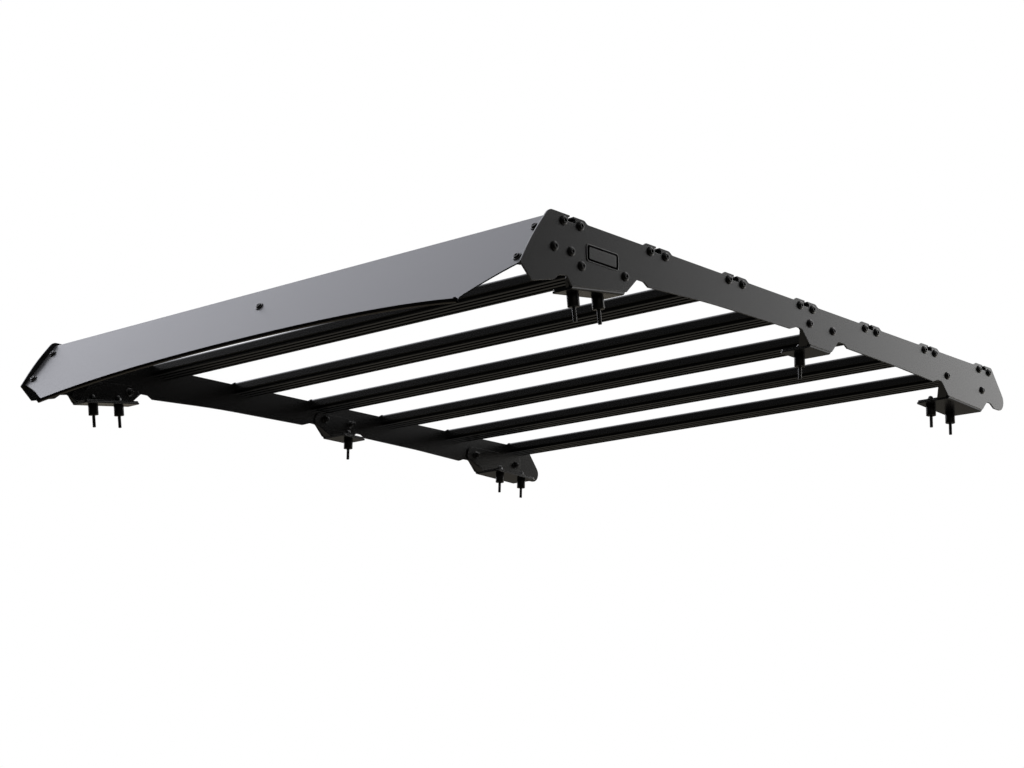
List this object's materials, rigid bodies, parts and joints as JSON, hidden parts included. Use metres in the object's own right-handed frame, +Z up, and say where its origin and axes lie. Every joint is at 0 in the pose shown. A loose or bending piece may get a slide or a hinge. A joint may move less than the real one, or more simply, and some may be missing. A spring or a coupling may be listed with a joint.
{
  "type": "flat platform roof rack",
  "caption": "Low black roof rack: slats with tee slots between two profiled side plates, an inclined wind deflector in front, and folded feet with spacers and threaded studs.",
  "frame": {"origin": "middle of the rack's footprint on the plane that the tips of the mounting studs reach down to", "axes": "+Z up; -Y towards the front, where the wind deflector is; +X towards the right-hand side plate as seen from the front, which is the near side plate in the picture"},
  "size_m": [1.1638, 1.4122, 0.1444],
  "materials": {
    "plate_coat": "black satin powder coat on folded sheet steel",
    "slat_coat": "black satin powder coat on extruded aluminium",
    "deflector_coat": "black satin powder coat on aluminium sheet",
    "trim_rubber": "matt black rubber edge trim",
    "spacer_coat": "black anodised turned spacer",
    "fastener_coat": "black coated steel fastener",
    "badge_coat": "bare dark plate with a recessed line"
  },
  "bodies": {
    "root": {"side_plate_left": "plate_coat", "side_plate_right": "plate_coat", "slat_1": "slat_coat", "slat_2": "slat_coat", "slat_3": "slat_coat", "slat_4": "slat_coat", "slat_5": "slat_coat", "slat_6": "slat_coat", "slat_7": "slat_coat", "wind_deflector": "deflector_coat", "deflector_edge_trim": "trim_rubber", "deflector_bracket_left": "plate_coat", "deflector_bracket_right": "plate_coat", "deflector_centre_bracket": "plate_coat", "foot_bracket_front_left": "plate_coat", "foot_bracket_front_right": "plate_coat", "foot_bracket_middle_left": "plate_coat", "foot_bracket_middle_right": "plate_coat", "foot_bracket_rear_left": "plate_coat", "foot_bracket_rear_right": "plate_coat", "foot_spacers_left": "spacer_coat", "mounting_studs_left": "fastener_coat", "slat_bolts_left": "fastener_coat", "bracket_bolts_left": "fastener_coat", "bracket_nuts_left": "fastener_coat", "badge_left": "badge_coat", "foot_spacers_right": "spacer_coat", "mounting_studs_right": "fastener_coat", "slat_bolts_right": "fastener_coat", "bracket_bolts_right": "fastener_coat", "bracket_nuts_right": "fastener_coat", "badge_right": "badge_coat", "deflector_bolts": "fastener_coat", "deflector_nuts": "fastener_coat", "centre_bracket_screws": "fastener_coat"}
  },
  "joints": []
}
